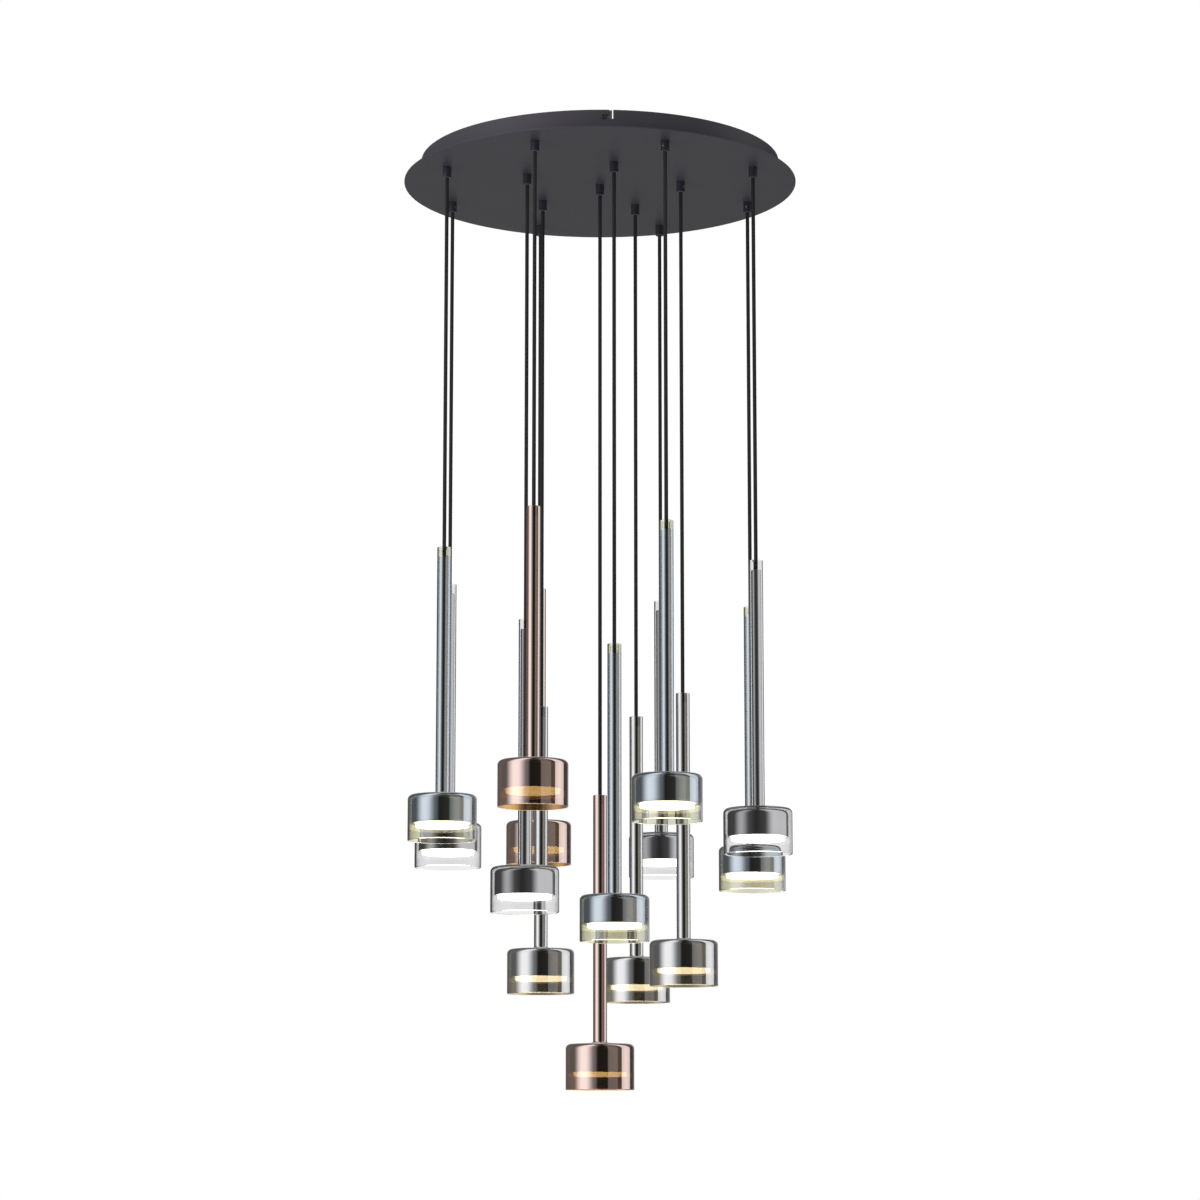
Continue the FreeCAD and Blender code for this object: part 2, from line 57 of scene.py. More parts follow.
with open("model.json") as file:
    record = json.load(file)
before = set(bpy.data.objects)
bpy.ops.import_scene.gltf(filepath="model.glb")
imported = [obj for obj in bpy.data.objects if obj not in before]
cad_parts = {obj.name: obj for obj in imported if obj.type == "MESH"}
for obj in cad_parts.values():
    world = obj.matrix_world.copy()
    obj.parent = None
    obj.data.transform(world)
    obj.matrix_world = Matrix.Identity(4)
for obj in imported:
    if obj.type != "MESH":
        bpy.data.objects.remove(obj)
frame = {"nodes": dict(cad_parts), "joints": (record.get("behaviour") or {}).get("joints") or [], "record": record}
CAD_LOW, CAD_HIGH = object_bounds()

# Places and heights that come from the frame
MOUTHS = {
    joint["name"][-2:]: Vector(joint["pos_m"])
    for joint in frame["joints"]
    if joint["name"].startswith("swing_")
}
SLOT_OF = {part["node"]: part["material_slot"] for part in frame["record"]["subparts"]}
FACE_LOW, FACE_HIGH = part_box("canopy_face")
COLLAR_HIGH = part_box("canopy_collar")[1]
GRIPS_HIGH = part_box("cord_grips")[1]
SHADE_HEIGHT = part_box("glass_07")[1].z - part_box("glass_07")[0].z

MM = 0.001
TURN = 2 * math.pi
UP = Vector((0, 0, 1))
ORIGIN = Vector((0, 0, 0))

# How the turned pieces are faceted
FINE_STEPS = 128
TUBE_STEPS = 64
SMALL_STEPS = 48
GRUB_STEPS = 24
CANOPY_STEPS = 288
ARC_SEGMENTS = 6
EDGE_SEGMENTS = 3
SMOOTH_ANGLE = math.radians(32)
FLAT_ANGLE = math.radians(0.5)
MERGE_DISTANCE = 1e-6

# Share of the mirror coat at each corner of a shade, kept with its mesh
COAT_ATTRIBUTE = "coat"

# Shades whose dense coat holds back most of the mirrored light of their own disc
DENSE_COATS = {"glass_smoke", "glass_copper"}

# Limits between whole counts of a ray's bounces: none yet, and the glass surfaces that it
# crosses inside one shade, past which it has come from another
NO_BOUNCE = 0.5
OWN_GLASS_SURFACES = 4.5

# Refraction of blown glass
GLASS_BEND = 1.5

# Detail of the cloudy patterns, and the parts of their noise that roughness and colour use
PATTERN_DETAIL = 4
PATTERN_LOW, PATTERN_HIGH = 0.35, 0.65
COLOUR_STOPS = (0.3, 0.7)

# Rounding of the lit disc's lower edge
DIFFUSER_EDGE = 1.5 * MM

# Side screws of the collar and the cross recess in their heads
SCREW_HEAD_HEIGHT = 3.0 * MM
SCREW_REACH = 13.0 * MM
RECESS_ARM = 2.4 * MM
RECESS_BLADE = 0.5 * MM
RECESS_DEPTH = 1.6 * MM

# Grub screw in the side of a cord grip and its socket
GRUB_RADIUS = 1.5 * MM
GRUB_LENGTH = 3.0 * MM
GRUB_EDGE = 0.3 * MM
GRUB_STANDS_OUT = 0.25 * MM
SOCKET_RADIUS = 0.8 * MM
SOCKET_DEPTH = 2.4 * MM

# Where the four arms of the bracket stand, from the front
ARM_TURN = math.radians(1.0)
ARM_COUNT = 4

# Which way the grub screw of each grip faces: degrees round the grip from +X
GRUB_DIRECTIONS = {
    "01": 100, "02": -60, "03": 160, "04": 70, "05": 130, "06": 80, "07": 110,
    "08": 60, "09": 120, "10": 75, "11": -120, "12": -40, "13": -110, "14": 95,
}

# Camera, room and lights of the studio
SENSOR_WIDTH = 36.0
ROOM_COLOUR = (0.98, 0.99, 1.0)
FLOOR_WHITENESS = 0.75
FLOOR_STEPS = 96
KEY_PLACE = (-3.4, -2.4, 0.0)
FILL_PLACE = (2.8, -2.6, -1.8)
LIGHT_SIZE = 2.4

# Cards round the room, by where they start and end: degrees from the front, the left
# negative, and how light they are. The mirror coats show the first set: a bright card with
# soft sides on the left, a grey one right of the middle and a bright one far to the right.
COAT_CARDS = (
    (-180, 0.45), (-160, 0.10), (-98, 0.10), (-62, 0.98), (-50, 0.98), (-18, 0.15),
    (-6, 0.01), (26, 0.01), (28, 0.14), (61, 0.13), (64, 0.03), (77, 0.03),
    (80, 0.70), (98, 0.84), (116, 0.74), (124, 0.03), (150, 0.03), (160, 0.30),
)
# What the glass covers shows a dim card on the left and a wide, bright one on the right
CHROME_CARDS = (
    (-180, 0.30), (-150, 0.05), (-105, 0.05), (-69, 0.46), (-33, 0.06), (-10, 0.03),
    (22, 0.06), (60, 0.67), (125, 0.62), (138, 0.05), (165, 0.05),
)


def length(name, default, description):
    """Property for a size in metres."""
    return FloatProperty(
        name=name,
        default=default,
        min=0.0,
        subtype="DISTANCE",
        unit="LENGTH",
        description=description,
    )


def colour(name, default, description):
    """Property for a colour."""
    return FloatVectorProperty(
        name=name,
        default=default,
        size=3,
        min=0.0,
        max=1.0,
        subtype="COLOR",
        description=description,
    )


def share(name, default, description):
    """Property for a share from 0 to 1."""
    return FloatProperty(name=name, default=default, min=0.0, max=1.0, description=description)


def amount(name, default, description, lowest=0.0):
    """Property for a plain number, such as a power or a brightness."""
    return FloatProperty(name=name, default=default, min=lowest, description=description)


class ShadeSettings(bpy.types.PropertyGroup):
    """Sizes and colours of the glass shades."""

    drum_radius: length("Drum radius", 59 * MM, "Outside radius of the drum")
    drum_height: length("Drum height", 78 * MM, "From the open rim to the top of the drum")
    drum_wall: length("Drum wall", 3 * MM, "Thickness of the drum's glass")
    shoulder: length("Shoulder", 8 * MM, "Outside rounding between the drum's side and top")
    dome: length("Dome", 2.5 * MM, "Rise of the drum's top from its shoulder to the stem")
    stem_radius: length("Stem radius", 12 * MM, "Outside radius of the glass stem")
    stem_wall: length("Stem wall", 2 * MM, "Thickness of the stem's glass")
    stem_fillet: length("Stem fillet", 3 * MM, "Rounding where the stem grows out of the drum")
    lip: length("Lip", 1.3 * MM, "Fire-polished rounding of the open edges")
    clear_tint: colour("Clear", (0.87, 0.87, 0.88), "Light through the clear glass, squared")
    clear_bend: amount("Clear bend", 1.3, "Refraction of the thin clear glass", 1.0)
    amber_coat: colour("Amber coat", (0.75, 0.86, 1.0), "Mirror colour of the amber glass")
    amber_tint: colour("Amber", (1.0, 0.83, 0.46), "Light through the amber glass, squared")
    amber_mirror: share("Amber mirror", 0.62, "Light that the whole amber coat reflects")
    amber_fade: share("Amber fade", 0.20, "Light that the amber coat reflects at the rim")
    smoke_coat: colour("Smoke coat", (0.95, 0.96, 1.0), "Mirror colour of the smoke glass")
    smoke_tint: colour("Smoke", (0.66, 0.50, 0.24), "Light through the smoke glass, squared")
    smoke_mirror: share("Smoke mirror", 0.77, "Light that the smoke coat reflects")
    copper_coat: colour("Copper coat", (0.97, 0.77, 0.72), "Mirror colour of the copper glass")
    copper_tint: colour("Copper", (0.90, 0.46, 0.07), "Light through the copper glass, squared")
    copper_mirror: share("Copper mirror", 0.90, "Light that the copper coat reflects")
    fade_low: length("Fade from", 22 * MM, "Where the amber coat starts, above the rim")
    fade_high: length("Fade to", 34 * MM, "Where the amber coat is whole, above the rim")
    bare_top: length("Bare top", 17 * MM, "Top of the stem that the amber coat leaves bare")


class LampSettings(bpy.types.PropertyGroup):
    """Sizes and colours of the lamp inside each shade."""

    tube_radius: length("Tube radius", 8.5 * MM, "Outside radius of the chrome tube")
    tube_wall: length("Tube wall", 1.5 * MM, "Thickness of the chrome tube")
    tube_below_glass: length("Tube below glass", 17 * MM, "Top of the tube below the glass")
    cap_radius: length("Cap radius", 52 * MM, "Outside radius of the chrome cap")
    cap_wall: length("Cap wall", 2 * MM, "Thickness of the spun cap")
    cap_shoulder: length("Cap shoulder", 8 * MM, "Rounding between the cap's side and top")
    cap_below_glass: length("Cap below glass", 4 * MM, "Top of the cap below the top of the drum")
    cap_above_rim: length("Cap above rim", 30 * MM, "Lower edge of the cap above the glass rim")
    seat_inner: length("Seat inner radius", 20 * MM, "Inner radius of the soft ring")
    seat_outer: length("Seat outer radius", 30 * MM, "Outer radius of the soft ring")
    seat_height: length("Seat height", 0.7 * MM, "Height of the soft ring")
    board_radius: length("Board radius", 49.7 * MM, "Radius of the LED board in the cap's mouth")
    board_thickness: length("Board thickness", 1.6 * MM, "Thickness of the LED board")
    diffuser_radius: length("Diffuser radius", 45.5 * MM, "Radius of the opal disc")
    diffuser_above_rim: length("Diffuser height", 23 * MM, "Underside of the disc above the rim")
    chrome: colour("Chrome", (0.80, 0.80, 0.82), "Polished chrome of the tube and cap")
    glow: colour("Glow", (1.0, 0.93, 0.78), "Colour of the lit disc")
    mirror_reach: length("Mirror reach", 60 * MM, "How far off a coat still shows the lit disc")
    glow_strength: amount("Glow strength", 5.0, "Brightness of the lit disc")
    glow_mirrored: amount("Mirrored glow", 1.6, "Brightness of the disc in its own glass")
    glow_coated: amount("Coated glow", 0.80, "The same in the smoke and copper coats")


class CanopySettings(bpy.types.PropertyGroup):
    """Sizes and colours of the canopy, its grips and its cables."""

    face_radius: length("Face radius", 350 * MM, "Radius of the round face")
    face_edge: length("Face edge", 0.5 * MM, "Rounding of the face's edge")
    collar_radius: length("Collar radius", 320 * MM, "Outside radius of the collar")
    collar_strip: length("Collar strip", 1.5 * MM, "Thickness of the collar")
    collar_foot: length("Collar foot", 12 * MM, "Width of the foot turned inwards")
    slot_width: length("Slot width", 7 * MM, "Width of a bayonet slot")
    slot_depth: length("Slot depth", 16 * MM, "Depth of a bayonet slot from the collar's top")
    slot_travel: length("Slot travel", 13.4 * MM, "From the slot's mouth to the locked screw")
    screw_radius: length("Screw radius", 2.5 * MM, "Radius of a side screw")
    screw_head: length("Screw head", 4.75 * MM, "Radius of a side screw's head")
    grip_radius: length("Grip radius", 7.5 * MM, "Outside radius of a cord grip")
    grip_bore: length("Grip bore", 3.6 * MM, "Radius of the hole for the cable")
    stem_radius: length("Grip stem", 5.0 * MM, "Radius of the grip's threaded stem")
    cable_radius: length("Cable radius", 3.3 * MM, "Radius of the round cable")
    paint: colour("Paint", (0.043, 0.040, 0.050), "Satin anthracite of the face and collar")
    grip_paint: colour("Grip", (0.020, 0.020, 0.032), "Satin black of the grips")
    sheath: colour("Cable sheath", (0.018, 0.018, 0.019), "Black of the cables")


class StudioSettings(bpy.types.PropertyGroup):
    """Camera, floor and light."""

    camera_distance: length("Camera distance", 5.768, "From the pendant's axis to the camera")
    camera_below_face: length("Camera below face", 1.6855, "Height of the face above the camera")
    camera_pitch: FloatProperty(
        name="Camera pitch",
        default=math.radians(9.186),
        subtype="ANGLE",
        unit="ROTATION",
        description="How far the camera looks up",
    )
    lens: amount("Lens", 99.84, "Focal length in millimetres", 1.0)
    floor_gap: length("Floor gap", 0.60, "From the lowest shade down to the floor")
    floor_radius: length("Floor radius", 9.0, "Radius of the round floor")
    floor_colour: colour("Floor", (0.90, 0.90, 0.89), "Pale floor")
    daylight: amount("Daylight", 0.74, "Even light of the room on matt surfaces")
    softbox: amount("Softbox", 1.08, "Brightest card that polished surfaces mirror")
    key_power: amount("Key light", 130.0, "Power in watts")
    fill_power: amount("Fill light", 3.0, "Power in watts")


def shade_settings():
    return bpy.context.scene.pendant_shade


def lamp_settings():
    return bpy.context.scene.pendant_lamp


def canopy_settings():
    return bpy.context.scene.pendant_canopy


def studio_settings():
    return bpy.context.scene.pendant_studio


# ---------------------------------------------------------------- modelling helpers


def activate(*objects):
    """Leaves object mode and selects only these objects, the last one active."""
    if bpy.context.object and bpy.context.object.mode != "OBJECT":
        bpy.ops.object.mode_set(mode="OBJECT")
    bpy.ops.object.select_all(action="DESELECT")
    for thing in objects:
        thing.hide_set(False)
        thing.select_set(True)
        bpy.context.view_layer.objects.active = thing


def select_corners(piece, chosen):
    """In edit mode, selects the vertices whose place passes a test."""
    mesh = bmesh.from_edit_mesh(piece.data)
    for vertex in mesh.verts:
        vertex.select_set(chosen(vertex.co))
    mesh.select_flush_mode()
    bmesh.update_edit_mesh(piece.data)


def start_piece(name):
    """New object in edit mode with one vertex at the origin."""
    activate()
    bpy.ops.mesh.primitive_plane_add(size=MM)
    piece = bpy.context.object
    piece.name = name
    bpy.ops.object.mode_set(mode="EDIT")
    bpy.ops.mesh.select_mode(type="VERT")
    bpy.ops.mesh.select_all(action="SELECT")
    bpy.ops.mesh.merge(type="CENTER")
    return piece


def draw_outline(piece, corners):
    """Draws a filled outline through (radius, height, rounding) corners and rounds them."""
    here = ORIGIN
    for step, (radius, height, _) in enumerate(corners):
        there = Vector((radius, 0, height))
        if step == 0:
            bpy.ops.transform.translate(value=there)
        else:
            bpy.ops.mesh.extrude_region_move(TRANSFORM_OT_translate={"value": there - here})
        here = there
    bpy.ops.mesh.select_all(action="SELECT")
    bpy.ops.mesh.edge_face_add()
    for rounding in sorted({corner[2] for corner in corners if corner[2]}):
        places = [Vector((radius, 0, height)) for radius, height, own in corners if own == rounding]
        select_corners(piece, lambda co: any((co - at).length < MERGE_DISTANCE for at in places))
        bpy.ops.mesh.bevel(
            offset=rounding, segments=ARC_SEGMENTS, affect="VERTICES", clamp_overlap=True
        )


def turned_piece(name, corners, steps=SMALL_STEPS):
    """Piece turned round the Z axis from a closed outline of (radius, height, rounding) corners."""
    piece = start_piece(name)
    draw_outline(piece, corners)
    bpy.ops.mesh.select_all(action="SELECT")
    bpy.ops.mesh.delete(type="ONLY_FACE")
    bpy.ops.mesh.select_all(action="SELECT")
    bpy.ops.mesh.spin(steps=steps, angle=TURN, center=ORIGIN, axis=UP)
    bpy.ops.mesh.select_all(action="SELECT")
    bpy.ops.mesh.remove_doubles(threshold=MERGE_DISTANCE)
    bpy.ops.mesh.normals_make_consistent(inside=False)
    return smoothed(piece)


def turned_disc(name, radius, start, end, roundings=(0, 0), steps=SMALL_STEPS):
    """Solid disc or pin between two heights, each of its edges with its own rounding."""
    corners = [
        (0, start, 0),
        (radius, start, roundings[0]),
        (radius, end, roundings[1]),
        (0, end, 0),
    ]
    return turned_piece(name, corners, steps)


def smoothed(piece):
    """Shades a piece smooth, with its sharp edges kept."""
    activate(piece)
    bpy.ops.object.shade_smooth_by_angle(angle=SMOOTH_ANGLE)
    return piece


def flattened(piece):
    """Lets the large faces of a piece set its normals, so that only its roundings look round."""
    activate(piece)
    normals = piece.modifiers.new("Normals", "WEIGHTED_NORMAL")
    normals.keep_sharp = True
    bpy.ops.object.modifier_apply(modifier=normals.name)
    return piece


def domed(radius, top):
    """Point on the shallow cone that the tops of drum and cap follow, top being its foot."""
    s = shade_settings()
    foot = s.drum_radius - s.shoulder
    return radius, top + s.dome * (foot - radius) / (foot - s.stem_radius)


def block(name, low, high):
    """Box between two corners, from a cube shaped in edit mode."""
    activate()
    bpy.ops.mesh.primitive_cube_add(size=1)
    piece = bpy.context.object
    piece.name = name
    low, high = Vector(low), Vector(high)
    bpy.ops.object.mode_set(mode="EDIT")
    bpy.ops.mesh.select_all(action="SELECT")
    bpy.ops.transform.resize(value=high - low)
    bpy.ops.transform.translate(value=(low + high) / 2)
    bpy.ops.object.mode_set(mode="OBJECT")
    return piece


def eased(piece, width):
    """Rounds the sharp edges of a piece with an applied bevel."""
    activate(piece)
    bevel = piece.modifiers.new("Edges", "BEVEL")
    bevel.width = width
    bevel.segments = EDGE_SEGMENTS
    bevel.limit_method = "ANGLE"
    bevel.angle_limit = SMOOTH_ANGLE
    bevel.harden_normals = False
    bpy.ops.object.modifier_apply(modifier=bevel.name)
    return flattened(smoothed(piece))


def cut_away(piece, cutter):
    """Cuts one piece out of another and throws the cutter away."""
    activate(piece)
    cut = piece.modifiers.new("Cut", "BOOLEAN")
    cut.operation = "DIFFERENCE"
    cut.solver = "EXACT"
    cut.object = cutter
    bpy.ops.object.modifier_apply(modifier=cut.name)
    bpy.data.objects.remove(cutter)
    return piece


def copied(piece, name):
    """Copy of a piece with a mesh of its own."""
    activate(piece)
    bpy.ops.object.duplicate()
    twin = bpy.context.object
    twin.name = name
    return twin


def joined(pieces, name):
    """Several pieces made one."""
    activate(*pieces)
    bpy.ops.object.join()
    whole = bpy.context.object
    whole.name = name
    return whole


def moved(piece, matrix):
    """Moves a piece and applies the place to its mesh."""
    piece.matrix_world = matrix
    activate(piece)
    bpy.ops.object.transform_apply(location=True, rotation=True, scale=True)
    return piece


def merged_copy(node, name):
    """Copy of a CAD node with its loose triangles merged and its flat faces made whole."""
    piece = copied(frame["nodes"][node], name)
    piece.parent = None
    for key in [key for key in piece.keys() if key.startswith("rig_")]:
        del piece[key]
    bpy.ops.object.mode_set(mode="EDIT")
    bpy.ops.mesh.select_mode(type="VERT")
    bpy.ops.mesh.select_all(action="SELECT")
    bpy.ops.mesh.customdata_custom_splitnormals_clear()
    bpy.ops.mesh.remove_doubles(threshold=MERGE_DISTANCE)
    bpy.ops.mesh.dissolve_limited(angle_limit=FLAT_ANGLE)
    bpy.ops.object.mode_set(mode="OBJECT")
    return piece


def finished(piece, material, slot, body, *nodes):
    """Gives a piece its material, puts it on its body and lets it stand for CAD nodes; the slot argument is not
    used.

    Of a pendant only the lit disc shows in the polished pieces, which mirror the studio's cards.
    """
    piece.visible_glossy = not body.startswith("pendant_") or piece.name.startswith("diffuser")
    piece.data.materials.clear()
    piece.data.materials.append(material)
    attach(piece, body)
    if nodes:
        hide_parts(*nodes)
    return piece


def dressed(node, name, edge, material, body):
    """Copy of a CAD node with its edges rounded and its material on, in place of the node."""
    piece = eased(merged_copy(node, name), edge * MM)
    return finished(piece, material, SLOT_OF[node], body, node)


# ---------------------------------------------------------------- material helpers


def new_material(name):
    """Material with its node tree and its Principled shader."""
    material = bpy.data.materials.new(name)
    material.use_nodes = True
    tree = material.node_tree
    return material, tree, tree.nodes["Principled BSDF"]


def fine_bump(tree, shader, source, strength, distance):
    """Fine unevenness of a surface from a pattern."""
    bump = tree.nodes.new("ShaderNodeBump")
    bump.inputs["Strength"].default_value = strength
    bump.inputs["Distance"].default_value = distance
    tree.links.new(source, bump.inputs["Height"])
    tree.links.new(bump.outputs["Normal"], shader.inputs["Normal"])


def cloudy(tree, scale, stretch):
    """Soft cloudy pattern in object space."""
    place = tree.nodes.new("ShaderNodeTexCoord")
    mapping = tree.nodes.new("ShaderNodeMapping")
    mapping.inputs["Scale"].default_value = stretch
    noise = tree.nodes.new("ShaderNodeTexNoise")
    noise.inputs["Scale"].default_value = scale
    noise.inputs["Detail"].default_value = PATTERN_DETAIL
    tree.links.new(place.outputs["Object"], mapping.inputs["Vector"])
    tree.links.new(mapping.outputs["Vector"], noise.inputs["Vector"])
    return noise.outputs["Fac"]


def calculated(tree, operation, *values):
    """Result of a Math node on sockets and numbers."""
    node = tree.nodes.new("ShaderNodeMath")
    node.operation = operation
    for socket, value in zip(node.inputs, values):
        if isinstance(value, bpy.types.NodeSocket):
            tree.links.new(value, socket)
        else:
            socket.default_value = value
    return node.outputs[0]


def over(tree, source, limit):
    """1 where a socket is over a limit, otherwise 0."""
    return calculated(tree, "GREATER_THAN", source, limit)


def spread(tree, source, low, high, source_low=0.0, source_high=1.0):
    """Socket whose values are spread between two others."""
    node = tree.nodes.new("ShaderNodeMapRange")
    for name, value in zip(
        ("From Min", "From Max", "To Min", "To Max"), (source_low, source_high, low, high)
    ):
        node.inputs[name].default_value = value
    tree.links.new(source, node.inputs["Value"])
    return node.outputs["Result"]


def mixed(tree, part, first, second):
    """Shader that goes over from the first to the second as the part rises from 0 to 1."""
    node = tree.nodes.new("ShaderNodeMixShader")
    for socket, source in zip(node.inputs, (part, first, second)):
        tree.links.new(source, socket)
    return node.outputs[0]


def any_of(tree, path, names):
    """Largest of several outputs of a Light Path node."""
    largest = path.outputs[names[0]]
    for name in names[1:]:
        largest = calculated(tree, "MAXIMUM", largest, path.outputs[name])
    return largest


def varied(tree, source, socket, low, high):
    """Feeds a socket with a pattern stretched between two values."""
    tree.links.new(spread(tree, source, low, high, PATTERN_LOW, PATTERN_HIGH), socket)


def shaded_colour(tree, source, socket, base, depth):
    """Feeds a colour socket with a base colour that a pattern darkens and lightens a little."""
    ramp = tree.nodes.new("ShaderNodeValToRGB")
    levels = (1 - depth, 1 + depth)
    for stop, position, level in zip(ramp.color_ramp.elements, COLOUR_STOPS, levels):
        stop.position = position
        stop.color = [min(1.0, part * level) for part in base] + [1.0]
    tree.links.new(source, ramp.inputs["Fac"])
    tree.links.new(ramp.outputs["Color"], socket)


def grained(name, base, depth, grain, roughness, rise=0.0, relief=None, stretch=(1, 1, 1)):
    """Material whose colour varies with a grain, and its roughness and relief where it has them.

    The roughness rises by the rise across the grain; a relief is a strength and a distance.
    """
    material, tree, shader = new_material(name)
    pattern = cloudy(tree, grain, stretch)
    shaded_colour(tree, pattern, shader.inputs["Base Color"], base, depth)
    shader.inputs["Roughness"].default_value = roughness
    if rise:
        varied(tree, pattern, shader.inputs["Roughness"], roughness, roughness + rise)
    if relief:
        fine_bump(tree, shader, pattern, *relief)
    return material, tree, shader


def powder_coat():
    """Satin anthracite powder coat with its fine orange peel."""
    material, _, shader = grained(
        "powder_coat", canopy_settings().paint, 0.06, 1400, 0.46, rise=0.08, relief=(0.06, 0.0002)
    )
    shader.inputs["Specular IOR Level"].default_value = 0.35
    return material


def satin_black(name, base, roughness):
    """Satin black metal finish with a faint grain."""
    return grained(name, base, 0.15, 2500, roughness, rise=0.1, relief=(0.05, 0.0001))[0]


def cable_sheath():
    """Round black cable with a faint extruded grain along it."""
    material, _, shader = grained(
        "cable_sheath", canopy_settings().sheath, 0.04, 300, 0.70, stretch=(1, 1, 0.02)
    )
    shader.inputs["Specular IOR Level"].default_value = 0.15
    return material


def polished_chrome():
    """Polished chrome: a clean mirror, faintly cloudy in its colour."""
    material, _, shader = grained("polished_chrome", lamp_settings().chrome, 0.02, 40, 0.0)
    shader.inputs["Metallic"].default_value = 1.0
    return material


def plated_steel(name, base, roughness, grain):
    """Metal plate with a rolled grain."""
    material, _, shader = grained(
        name, base, 0.12, grain, roughness, rise=0.15, relief=(0.15, 0.0003), stretch=(1, 6, 1)
    )
    shader.inputs["Metallic"].default_value = 1.0
    return material


def moulded_plastic(name, base, roughness):
    """Moulded plastic with a fine spark-eroded grain."""
    return grained(name, base, 0.04, 1800, roughness, rise=0.1, relief=(0.2, 0.0002))[0]


def opal(name, mirrored_strength):
    """Lit opal disc, dimmer where its own glass mirrors it and unseen in any other mirror."""
    settings = lamp_settings()
    material, tree, shader = grained(name, (0.9, 0.9, 0.88), 0.02, 700, 0.35)
    shader.inputs["Emission Color"].default_value = (*settings.glow, 1.0)
    path = tree.nodes.new("ShaderNodeLightPath")
    mirrored = over(tree, path.outputs["Glossy Depth"], NO_BOUNCE)
    strength = spread(tree, mirrored, settings.glow_strength, mirrored_strength)
    tree.links.new(strength, shader.inputs["Emission Strength"])
    far = over(tree, path.outputs["Ray Length"], settings.mirror_reach)
    other_shade = over(tree, path.outputs["Transmission Depth"], OWN_GLASS_SURFACES)
    elsewhere = calculated(tree, "MAXIMUM", far, other_shade)
    hidden = calculated(tree, "MULTIPLY", mirrored, elsewhere)
    tree.links.new(spread(tree, hidden, 1.0, 0.0), shader.inputs["Alpha"])
    return material


def silicone():
    """Soft translucent silicone."""
    material, _, shader = grained("silicone", (0.75, 0.75, 0.75), 0.05, 900, 0.45)
    shader.inputs["Transmission Weight"].default_value = 0.4
    return material


def blown_glass(name, base, mirror, bend=GLASS_BEND):
    """Blown glass: part of the light is mirrored by a coat, the rest goes through in its tint."""
    material, _, shader = new_material(name)
    shader.inputs["Base Color"].default_value = (*base, 1.0)
    shader.inputs["Metallic"].default_value = mirror
    shader.inputs["Transmission Weight"].default_value = 1.0
    shader.inputs["Roughness"].default_value = 0.0
    shader.inputs["IOR"].default_value = bend
    return material


def faded_coat(name, base, thin, whole):
    """Blown glass with a coat that fades to the rim, by the piece's own coat attribute."""
    material = blown_glass(name, base, whole)
    tree = material.node_tree
    cover = tree.nodes.new("ShaderNodeAttribute")
    cover.attribute_name = COAT_ATTRIBUTE
    reflected = spread(tree, cover.outputs["Fac"], thin, whole)
    tree.links.new(reflected, tree.nodes["Principled BSDF"].inputs["Metallic"])
    return material


def shade_glasses():
    """Outer and inner glass material of each finish, by slot."""
    s = shade_settings()
    return {
        "glass_clear": (blown_glass("clear_glass", s.clear_tint, 0.0, s.clear_bend),) * 2,
        "glass_amber": (
            faded_coat("amber_coat", s.amber_coat, s.amber_fade, s.amber_mirror),
            blown_glass("amber_glass", s.amber_tint, 0.0),
        ),
        "glass_smoke": (
            blown_glass("smoke_coat", s.smoke_coat, s.smoke_mirror),
            blown_glass("smoke_glass", s.smoke_tint, 0.0),
        ),
        "glass_copper": (
            blown_glass("copper_coat", s.copper_coat, s.copper_mirror),
            blown_glass("copper_glass", s.copper_tint, 0.0),
        ),
    }


# ---------------------------------------------------------------- pieces


class PENDANT_OT_canopy_face(bpy.types.Operator):
    """Round face with its eased edge and a hole for each grip."""

    bl_idname = "pendant.canopy_face"
    bl_label = "Canopy face"

    def execute(self, context):
        s = canopy_settings()
        low, high = FACE_LOW.z, FACE_HIGH.z
        edges = (s.face_edge, s.face_edge)
        face = turned_disc("face_plate", s.face_radius, low, high, edges, CANOPY_STEPS)
        start, end = low - s.grip_bore, high + s.grip_bore
        drills = []
        for number, mouth in MOUTHS.items():
            drill = turned_disc("drill_" + number, s.stem_radius, start, end)
            drills.append(moved(drill, Matrix.Translation((mouth.x, mouth.y, 0))))
        face = flattened(smoothed(cut_away(face, joined(drills, "drills"))))
        finished(face, powder_coat(), "canopy_paint", "canopy", "canopy_face")
        return {"FINISHED"}


